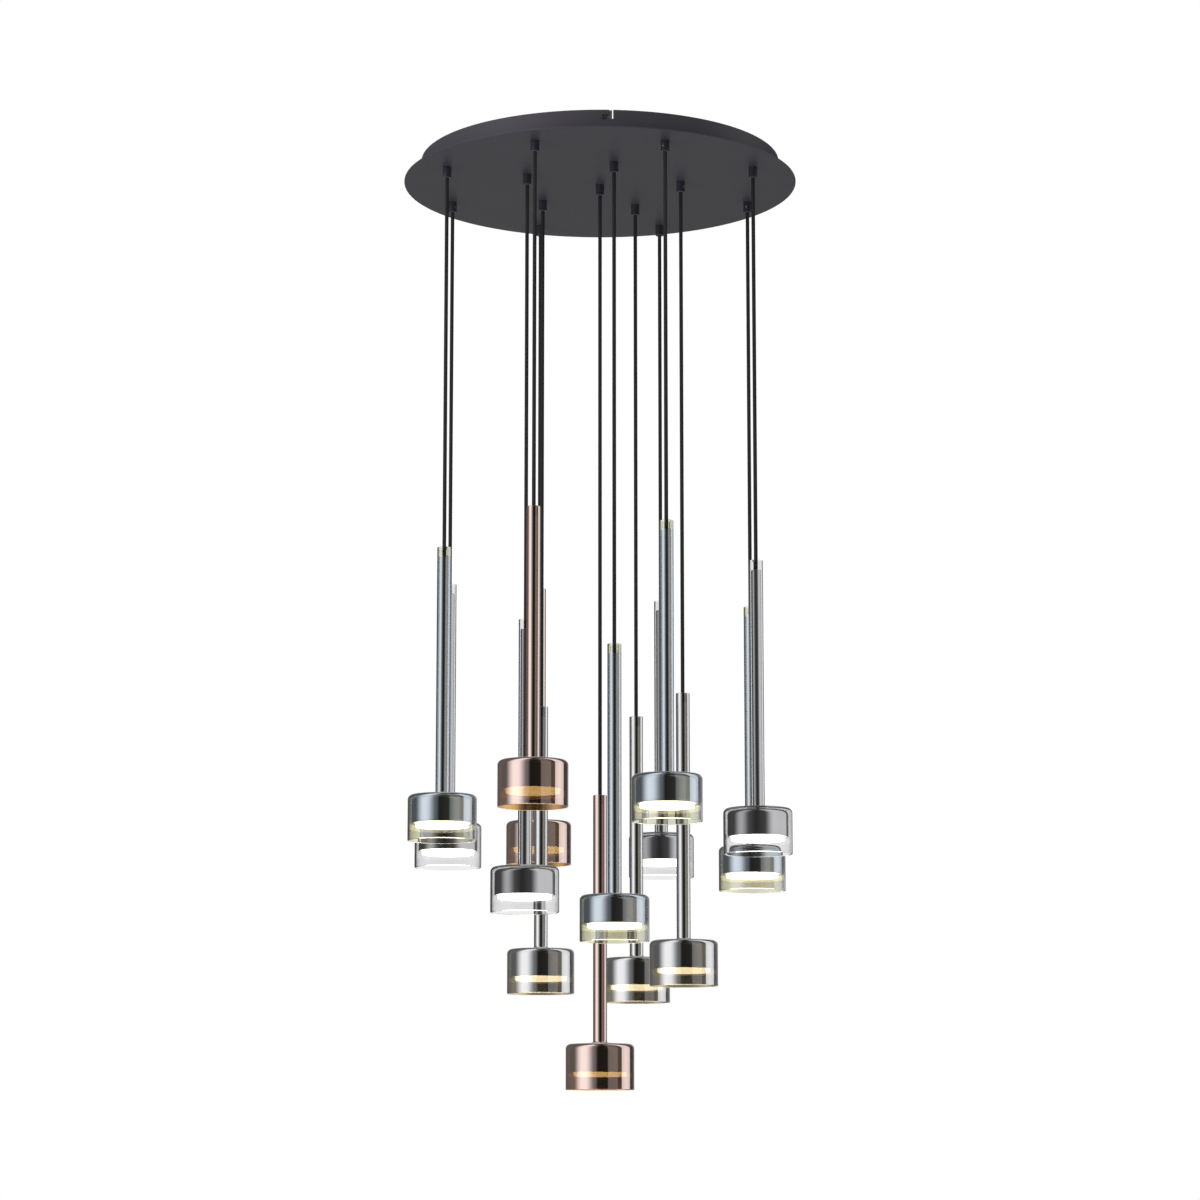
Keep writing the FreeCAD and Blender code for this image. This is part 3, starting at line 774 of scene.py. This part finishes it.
class PENDANT_OT_canopy_collar(bpy.types.Operator):
    """Rolled collar with its foot and its four bayonet slots."""

    bl_idname = "pendant.canopy_collar"
    bl_label = "Canopy collar"

    def execute(self, context):
        s = canopy_settings()
        inner = s.collar_radius - s.collar_strip
        foot = inner - s.collar_foot
        base, top = FACE_HIGH.z, COLLAR_HIGH.z
        corner = s.collar_strip / 3
        collar = turned_piece(
            "collar_ring",
            [
                (foot, base, 0),
                (s.collar_radius, base, corner),
                (s.collar_radius, top, corner),
                (inner, top, corner),
                (inner, base + s.collar_strip, corner),
                (foot, base + s.collar_strip, corner),
            ],
            CANOPY_STEPS,
        )
        slots = [self.slot(s, top) for _ in range(ARM_COUNT)]
        for arm, slot in enumerate(slots):
            moved(slot, Matrix.Rotation(ARM_TURN + TURN * arm / ARM_COUNT, 4, "Z"))
        collar = flattened(smoothed(cut_away(collar, joined(slots, "slots"))))
        paint = bpy.data.materials["powder_coat"]
        finished(collar, paint, "canopy_paint", "canopy", "canopy_collar")
        return {"FINISHED"}

    def slot(self, s, top):
        """L-shaped cutter of the front slot."""
        floor = top - s.slot_depth
        near = -s.collar_radius - 4 * s.collar_strip
        far = -s.collar_radius + 4 * s.collar_strip
        right = s.slot_travel + s.slot_width / 2
        left = -s.screw_radius - 0.5 * MM
        above = top + s.slot_width
        mouth = block("mouth", (right - s.slot_width, near, floor), (right, far, above))
        leg = block("leg", (left, near, floor), (right - MM, far, floor + s.slot_width))
        activate(mouth)
        union = mouth.modifiers.new("Union", "BOOLEAN")
        union.operation = "UNION"
        union.object = leg
        bpy.ops.object.modifier_apply(modifier=union.name)
        bpy.data.objects.remove(leg)
        return mouth


class PENDANT_OT_ceiling_frame(bpy.types.Operator):
    """Ceiling bracket with its weld nuts, side screws and earth screw."""

    bl_idname = "pendant.ceiling_frame"
    bl_label = "Ceiling bracket"

    def execute(self, context):
        sheet = plated_steel("bracket_zinc", (0.62, 0.62, 0.63), 0.32, 90)
        zinc = plated_steel("nut_zinc", (0.68, 0.67, 0.64), 0.22, 300)
        brass = plated_steel("earth_brass", (0.78, 0.60, 0.30), 0.20, 300)
        dressed("ceiling_bracket", "bracket_cross", 0.3, sheet, "ceiling_frame")
        dressed("weld_nuts", "bracket_weld_nuts", 0.25, zinc, "ceiling_frame")
        dressed("earth_screw", "bracket_earth_screw", 0.2, brass, "ceiling_frame")
        self.side_screws()
        return {"FINISHED"}

    def side_screws(self):
        """Four black pan-head screws that the collar hangs on."""
        s = canopy_settings()
        low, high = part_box("side_screws")
        middle = (low.z + high.z) / 2
        reach = -low.y
        screw = turned_piece(
            "side_screw",
            [
                (0, 0, 0),
                (s.screw_head, 0, 1.6 * MM),
                (s.screw_head, -SCREW_HEAD_HEIGHT, 0.2 * MM),
                (s.screw_radius, -SCREW_HEAD_HEIGHT, 0),
                (s.screw_radius, -SCREW_REACH, 0.5 * MM),
                (0, -SCREW_REACH, 0),
            ],
        )
        arm, blade = RECESS_ARM, RECESS_BLADE
        recess = [
            block("blade", (-arm, -blade, -RECESS_DEPTH), (arm, blade, MM)),
            block("blade", (-blade, -arm, -RECESS_DEPTH), (blade, arm, MM)),
        ]
        for cutter in recess:
            cut_away(screw, cutter)
        smoothed(screw)
        facing_front = Matrix.Rotation(math.pi / 2, 4, "X")
        moved(screw, Matrix.Translation((0, -reach, middle)) @ facing_front)
        screws = [screw] + [copied(screw, "side_screw") for _ in range(ARM_COUNT - 1)]
        for step, one in enumerate(screws):
            moved(one, Matrix.Rotation(ARM_TURN + TURN * step / ARM_COUNT, 4, "Z"))
        oxide = satin_black("black_oxide", (0.03, 0.03, 0.035), 0.28)
        finished(
            joined(screws, "collar_screws"), oxide, "black_screw", "ceiling_frame", "side_screws"
        )


class PENDANT_OT_cord_grips(bpy.types.Operator):
    """Cord grips with their grub screws, and the nuts that hold them."""

    bl_idname = "pendant.cord_grips"
    bl_label = "Cord grips"

    def execute(self, context):
        s = canopy_settings()
        mouth = MOUTHS["07"].z
        grip = turned_piece(
            "grip",
            [
                (s.grip_bore, mouth, 0.9 * MM),
                (s.grip_radius, mouth, 0.6 * MM),
                (s.grip_radius, FACE_LOW.z, 0.25 * MM),
                (s.stem_radius, FACE_LOW.z, 0),
                (s.stem_radius, GRIPS_HIGH.z, 0.4 * MM),
                (s.grip_bore, GRIPS_HIGH.z, 0.4 * MM),
            ],
            SMALL_STEPS,
        )
        flattened(grip)
        black = satin_black("grip_black", s.grip_paint, 0.30)
        grub = self.grub_screw(s)
        steel = plated_steel("grub_steel", (0.80, 0.80, 0.82), 0.12, 500)
        middle = (mouth + FACE_LOW.z) / 2
        for number, place in MOUTHS.items():
            there = Matrix.Translation((place.x, place.y, 0))
            one = moved(copied(grip, "cord_grip_" + number), there)
            finished(one, black, "grip_black", "canopy", "cord_grips")
            facing = Matrix.Rotation(math.radians(GRUB_DIRECTIONS[number]), 4, "Z")
            spot = Matrix.Translation((place.x, place.y, middle)) @ facing
            screw = moved(copied(grub, "grub_screw_" + number), spot)
            finished(screw, steel, "zinc", "canopy")
        bpy.data.objects.remove(grip)
        bpy.data.objects.remove(grub)
        zinc = bpy.data.materials["nut_zinc"]
        dressed("grip_nuts", "grip_lock_nuts", 0.3, zinc, "canopy")
        return {"FINISHED"}

    def grub_screw(self, s):
        """Small socket screw in the side of a grip, facing +X."""
        edges = (GRUB_EDGE, GRUB_EDGE)
        screw = turned_disc("grub", GRUB_RADIUS, 0, -GRUB_LENGTH, edges, GRUB_STEPS)
        activate()
        bpy.ops.mesh.primitive_cylinder_add(vertices=6, radius=SOCKET_RADIUS, depth=SOCKET_DEPTH)
        screw = smoothed(cut_away(screw, bpy.context.object))
        out = Matrix.Translation((s.grip_radius + GRUB_STANDS_OUT, 0, 0))
        return moved(screw, out @ Matrix.Rotation(math.pi / 2, 4, "Y"))


class PENDANT_OT_cables(bpy.types.Operator):
    """Straight cables from the grips down to the lamp tubes."""

    bl_idname = "pendant.cables"
    bl_label = "Cables"

    def execute(self, context):
        s = canopy_settings()
        sheath = cable_sheath()
        for number, mouth in MOUTHS.items():
            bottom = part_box("cable_" + number)[0].z
            line = bpy.data.curves.new("pendant_cable_" + number, "CURVE")
            line.dimensions = "3D"
            line.bevel_depth = s.cable_radius
            line.bevel_resolution = 6
            line.use_fill_caps = True
            spline = line.splines.new("NURBS")
            heights = (mouth.z, (mouth.z + bottom) / 2, bottom)
            spline.points.add(len(heights) - 1)
            for point, height in zip(spline.points, heights):
                point.co = (mouth.x, mouth.y, height, 1)
            spline.order_u = 3
            spline.use_endpoint_u = True
            cable = bpy.data.objects.new("pendant_cable_" + number, line)
            context.scene.collection.objects.link(cable)
            finished(cable, sheath, "cable_black", "pendant_" + number, "cable_" + number)
        return {"FINISHED"}


class PENDANT_OT_glass_shades(bpy.types.Operator):
    """Blown glass shades: a long stem over an open drum, each in its own finish."""

    bl_idname = "pendant.glass_shades"
    bl_label = "Glass shades"

    def execute(self, context):
        s = shade_settings()
        shade = self.shade(s)
        glasses = shade_glasses()
        for number, mouth in MOUTHS.items():
            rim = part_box("glass_" + number)[0].z
            one = copied(shade, "glass_shade_" + number)
            slot = SLOT_OF["glass_" + number]
            outer, inside = glasses[slot]
            finished(one, outer, slot, "pendant_" + number, "glass_" + number)
            one.data.materials.append(inside)
            self.line_inside(one, s)
            moved(one, Matrix.Translation((mouth.x, mouth.y, rim)))
            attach(one, "pendant_" + number)
        bpy.data.objects.remove(shade)
        return {"FINISHED"}

    def shade(self, s):
        """One shade with its rim at height 0 and its coat marked."""
        inner = s.drum_radius - s.drum_wall
        ceiling = s.drum_height - s.drum_wall
        bore = s.stem_radius - s.stem_wall
        stem_lip = s.stem_wall * 0.45
        shade = turned_piece(
            "shade",
            [
                (s.drum_radius, 0, s.lip),
                (s.drum_radius, s.fade_low, 0),
                (s.drum_radius, s.fade_high, 0),
                (s.drum_radius, s.drum_height, s.shoulder),
                (*domed(s.stem_radius, s.drum_height), s.stem_fillet),
                (s.stem_radius, SHADE_HEIGHT - s.bare_top, 0),
                (s.stem_radius, SHADE_HEIGHT - s.bare_top + s.stem_fillet, 0),
                (s.stem_radius, SHADE_HEIGHT, stem_lip),
                (bore, SHADE_HEIGHT, stem_lip),
                (*domed(bore, ceiling), s.stem_fillet / 2),
                (inner, ceiling, s.shoulder - s.drum_wall),
                (inner, 0, s.lip),
            ],
            FINE_STEPS,
        )
        self.mark_coat(shade, s)
        return flattened(shade)

    def mark_coat(self, shade, s):
        """Keeps with each corner how much of the mirror coat is there."""
        cover = shade.data.attributes.new(COAT_ATTRIBUTE, "FLOAT", "POINT")
        for corner in shade.data.vertices:
            height = corner.co.z
            above_rim = (height - s.fade_low) / (s.fade_high - s.fade_low)
            below_top = (SHADE_HEIGHT - s.bare_top + s.stem_fillet - height) / s.stem_fillet
            cover.data[corner.index].value = min(1.0, max(0.0, min(above_rim, below_top)))

    def line_inside(self, shade, s):
        """Gives the faces of the inner wall the second material."""
        for face in shade.data.polygons:
            reach = Vector(face.center[:2]).length
            towards_axis = face.normal.x * face.center.x + face.normal.y * face.center.y < 0
            under = face.normal.z < 0 and face.center.z > s.drum_height / 2
            below_ceiling = face.center.z < s.drum_height - s.drum_wall
            in_drum = below_ceiling and reach < s.drum_radius - s.drum_wall / 2
            in_stem = reach < s.stem_radius - s.stem_wall / 2
            if towards_axis and (in_drum or in_stem) or under:
                face.material_index = 1


class PENDANT_OT_lamps(bpy.types.Operator):
    """Chrome tube and cap, seat ring, LED board and lit opal disc of each pendant."""

    bl_idname = "pendant.lamps"
    bl_label = "Lamps"

    def execute(self, context):
        parts = self.parts(lamp_settings())
        coated_glow = opal("opal_glow_coated", lamp_settings().glow_coated)
        for number, mouth in MOUTHS.items():
            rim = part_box("glass_" + number)[0].z
            for name, (part, material, slot) in parts.items():
                one = copied(flattened(part), name + "_" + number)
                moved(one, Matrix.Translation((mouth.x, mouth.y, rim)))
                finished(one, material, slot, "pendant_" + number, "lamp_" + number)
                if name == "diffuser" and SLOT_OF["glass_" + number] in DENSE_COATS:
                    one.data.materials[0] = coated_glow
        for part, _, _ in parts.values():
            bpy.data.objects.remove(part)
        return {"FINISHED"}

    def parts(self, s):
        """One of each part of a lamp, with the rim at height 0."""
        cap_top = shade_settings().drum_height - s.cap_below_glass
        tube_top = SHADE_HEIGHT - s.tube_below_glass
        bore = s.tube_radius - s.tube_wall
        cap_inner = s.cap_radius - s.cap_wall
        cap_peak = domed(bore, cap_top)[1]
        edge = 0.4 * MM
        tube = turned_piece(
            "tube",
            [
                (0, tube_top, 0),
                (s.tube_radius, tube_top, 1.2 * MM),
                (s.tube_radius, cap_peak, 0),
                (bore, cap_peak, 0),
                (bore, tube_top - s.tube_wall, 0),
                (0, tube_top - s.tube_wall, 0),
            ],
            TUBE_STEPS,
        )
        cap = turned_piece(
            "cap",
            [
                (0, cap_peak, 0),
                (bore, cap_peak, 0),
                (s.cap_radius, cap_top, s.cap_shoulder),
                (s.cap_radius, s.cap_above_rim, edge),
                (cap_inner, s.cap_above_rim, edge),
                (cap_inner, cap_top - s.cap_wall, s.cap_shoulder - s.cap_wall),
                (bore, cap_peak - s.cap_wall, 0),
                (0, cap_peak - s.cap_wall, 0),
            ],
            FINE_STEPS,
        )
        seat_top = cap_top + s.seat_height
        seat = turned_piece(
            "seat",
            [
                (*domed(s.seat_inner, cap_top), 0),
                (*domed(s.seat_outer, cap_top), 0),
                (*domed(s.seat_outer, seat_top), s.seat_height / 3),
                (*domed(s.seat_inner, seat_top), s.seat_height / 3),
            ],
        )
        face, back = s.diffuser_above_rim, s.cap_above_rim
        board = turned_disc("board", s.board_radius, back, back + s.board_thickness)
        edges = (DIFFUSER_EDGE, 0)
        diffuser = turned_disc("diffuser", s.diffuser_radius, face, back, edges, FINE_STEPS)
        chrome = polished_chrome()
        mask = moulded_plastic("board_mask", (0.82, 0.82, 0.80), 0.4)
        return {
            "lamp_tube": (tube, chrome, "lamp_chrome"),
            "lamp_cap": (cap, chrome, "lamp_chrome"),
            "seat_ring": (seat, silicone(), "seat_silicone"),
            "led_board": (board, mask, "lamp_opal"),
            "diffuser": (diffuser, opal("opal_glow", s.glow_mirrored), "lamp_opal"),
        }


class PENDANT_OT_wiring(bpy.types.Operator):
    """Drivers, terminals, connectors and wires on the back of the face."""

    bl_idname = "pendant.wiring"
    bl_label = "Drivers and wiring"

    def execute(self, context):
        case = moulded_plastic("driver_white", (0.78, 0.78, 0.76), 0.38)
        nylon = moulded_plastic("terminal_nylon", (0.72, 0.71, 0.66), 0.42)
        wire = moulded_plastic("wire_white", (0.72, 0.72, 0.70), 0.45)
        sheath = bpy.data.materials["cable_sheath"]
        for node, name, edge, material in (
            ("led_drivers", "driver_cases", 1.2, case),
            ("driver_terminals", "driver_terminal_bars", 0.5, nylon),
            ("mains_terminal", "mains_terminal_bar", 0.5, nylon),
            ("lead_connectors", "cable_connectors", 0.6, nylon),
            ("driver_wires", "driver_flat_wires", 0.6, wire),
            ("mains_wires", "mains_round_wires", 0.1, wire),
            ("cable_ends", "cable_fixed_ends", 0.1, sheath),
        ):
            dressed(node, name, edge, material, "canopy")
        return {"FINISHED"}


# ---------------------------------------------------------------- studio


class PENDANT_OT_studio(bpy.types.Operator):
    """Camera, pale floor, white room with dark and light cards, and two soft lights."""

    bl_idname = "pendant.studio"
    bl_label = "Studio"

    def execute(self, context):
        s = studio_settings()
        self.camera(context, s)
        self.floor(s)
        self.room(context, s)
        self.soft_light("key_light", KEY_PLACE, s.key_power)
        self.soft_light("fill_light", FILL_PLACE, s.fill_power)
        context.scene.view_settings.view_transform = "Standard"
        return {"FINISHED"}

    def camera(self, context, s):
        """Camera in front of the pendant, low and looking up."""
        data = bpy.data.cameras.new("camera")
        data.lens = s.lens
        data.sensor_width = SENSOR_WIDTH
        camera = bpy.data.objects.new("camera", data)
        camera.location = (0, -s.camera_distance, FACE_LOW.z - s.camera_below_face)
        camera.rotation_euler = (math.pi / 2 + s.camera_pitch, 0, 0)
        context.scene.collection.objects.link(camera)
        context.scene.camera = camera

    def floor(self, s):
        """Round pale floor, white to the eye, with a soft shadow; from below it is clear."""
        activate()
        height = CAD_LOW.z - s.floor_gap
        bpy.ops.mesh.primitive_circle_add(
            vertices=FLOOR_STEPS,
            radius=s.floor_radius,
            fill_type="NGON",
            location=(0, 0, height),
        )
        floor = bpy.context.object
        floor.name = "floor"
        material, tree, shader = new_material("pale_floor")
        shader.inputs["Base Color"].default_value = (*s.floor_colour, 1.0)
        shader.inputs["Roughness"].default_value = 0.9
        glow = tree.nodes.new("ShaderNodeEmission")
        path = tree.nodes.new("ShaderNodeLightPath")
        seen = any_of(tree, path, ("Is Camera Ray", "Is Glossy Ray", "Is Transmission Ray"))
        whiteness = calculated(tree, "MULTIPLY", seen, FLOOR_WHITENESS)
        from_above = mixed(tree, whiteness, shader.outputs[0], glow.outputs[0])
        side = tree.nodes.new("ShaderNodeNewGeometry")
        clear = tree.nodes.new("ShaderNodeBsdfTransparent")
        surface = mixed(tree, side.outputs["Backfacing"], from_above, clear.outputs[0])
        tree.links.new(surface, tree.nodes["Material Output"].inputs["Surface"])
        floor.data.materials.append(material)
        floor.visible_glossy = False

    def room(self, context, s):
        """World: white behind the pendant, even light on matt surfaces, cards in mirrors."""
        world = bpy.data.worlds.new("studio_room")
        context.scene.world = world
        world.use_nodes = True
        tree = world.node_tree
        even = tree.nodes["Background"]
        even.inputs["Color"].default_value = (*ROOM_COLOUR, 1.0)
        even.inputs["Strength"].default_value = s.daylight
        white = tree.nodes.new("ShaderNodeBackground")
        white.inputs["Color"].default_value = (1.0, 1.0, 1.0, 1.0)
        mirrored = tree.nodes.new("ShaderNodeBackground")
        mirrored.inputs["Strength"].default_value = s.softbox
        path = tree.nodes.new("ShaderNodeLightPath")
        seen = any_of(tree, path, ("Is Camera Ray", "Is Transmission Ray"))
        bounced = over(tree, path.outputs["Glossy Depth"], NO_BOUNCE)
        passed = over(tree, path.outputs["Transmission Depth"], NO_BOUNCE)
        tree.links.new(self.cards(tree, passed), mirrored.inputs["Color"])
        not_matt = calculated(tree, "SUBTRACT", 1.0, path.outputs["Is Diffuse Ray"])
        polished = calculated(tree, "MULTIPLY", bounced, not_matt)
        plain = mixed(tree, seen, even.outputs[0], white.outputs[0])
        surface = mixed(tree, polished, plain, mirrored.outputs[0])
        tree.links.new(surface, tree.nodes["World Output"].inputs["Surface"])

    def cards(self, tree, through):
        """Tall cards all round: one set for the coats, a softer one for what glass covers."""
        direction = tree.nodes.new("ShaderNodeTexCoord")
        split = tree.nodes.new("ShaderNodeSeparateXYZ")
        tree.links.new(direction.outputs["Generated"], split.inputs[0])
        ahead = calculated(tree, "MULTIPLY", split.outputs["Y"], -1.0)
        angle = calculated(tree, "ARCTAN2", split.outputs["X"], ahead)
        round_trip = spread(tree, angle, 0.0, 1.0, -math.pi, math.pi)
        either = tree.nodes.new("ShaderNodeMix")
        either.data_type = "RGBA"
        tree.links.new(through, either.inputs["Factor"])
        for card_set, socket in ((COAT_CARDS, either.inputs[6]), (CHROME_CARDS, either.inputs[7])):
            ramp = tree.nodes.new("ShaderNodeValToRGB")
            tree.links.new(round_trip, ramp.inputs["Fac"])
            self.fill_ramp(ramp.color_ramp, card_set)
            tree.links.new(ramp.outputs["Color"], socket)
        return either.outputs[2]

    def fill_ramp(self, ramp, card_set):
        """Lays a set of cards with soft edges round the ramp."""
        ramp.interpolation = "EASE"
        while len(ramp.elements) < len(card_set):
            ramp.elements.new(1.0)
        for element, (degrees, level) in zip(ramp.elements, card_set):
            element.position = (degrees + 180) / 360
            element.color = (level, level, level, 1.0)

    def soft_light(self, name, place, power):
        """Large area light that aims at the middle of the pendant."""
        data = bpy.data.lights.new(name, "AREA")
        data.size = LIGHT_SIZE
        data.energy = power
        lamp = bpy.data.objects.new(name, data)
        lamp.location = place
        aim = (CAD_LOW + CAD_HIGH) / 2 - Vector(place)
        lamp.rotation_euler = aim.to_track_quat("-Z", "Y").to_euler()
        lamp.visible_glossy = False
        lamp.visible_camera = False
        lamp.visible_transmission = False
        bpy.context.scene.collection.objects.link(lamp)


class PENDANT_PT_panel(bpy.types.Panel):
    """Sizes, colours and the steps that make the pendant."""

    bl_idname = "PENDANT_PT_panel"
    bl_label = "Cluster Pendant"
    bl_space_type = "VIEW_3D"
    bl_region_type = "UI"
    bl_category = "Pendant"

    def draw(self, context):
        layout = self.layout
        for operator in OPERATORS:
            layout.operator(operator.bl_idname)
        for name in SETTINGS:
            group = getattr(context.scene, name)
            box = layout.box()
            for key in group.bl_rna.properties.keys():
                if key not in {"rna_type", "name"}:
                    box.prop(group, key)


OPERATORS = (
    PENDANT_OT_canopy_face,
    PENDANT_OT_canopy_collar,
    PENDANT_OT_ceiling_frame,
    PENDANT_OT_cord_grips,
    PENDANT_OT_cables,
    PENDANT_OT_glass_shades,
    PENDANT_OT_lamps,
    PENDANT_OT_wiring,
    PENDANT_OT_studio,
)
SETTINGS = {
    "pendant_shade": ShadeSettings,
    "pendant_lamp": LampSettings,
    "pendant_canopy": CanopySettings,
    "pendant_studio": StudioSettings,
}


def register():
    for group in SETTINGS.values():
        bpy.utils.register_class(group)
    for name, group in SETTINGS.items():
        setattr(bpy.types.Scene, name, PointerProperty(type=group))
    for operator in OPERATORS:
        bpy.utils.register_class(operator)
    bpy.utils.register_class(PENDANT_PT_panel)


def unregister():
    bpy.utils.unregister_class(PENDANT_PT_panel)
    for operator in reversed(OPERATORS):
        bpy.utils.unregister_class(operator)
    for name, group in SETTINGS.items():
        delattr(bpy.types.Scene, name)
        bpy.utils.unregister_class(group)


def main():
    register()
    for operator in OPERATORS:
        family, action = operator.bl_idname.split(".")
        getattr(getattr(bpy.ops, family), action)()


if __name__ == "__main__":
    main()
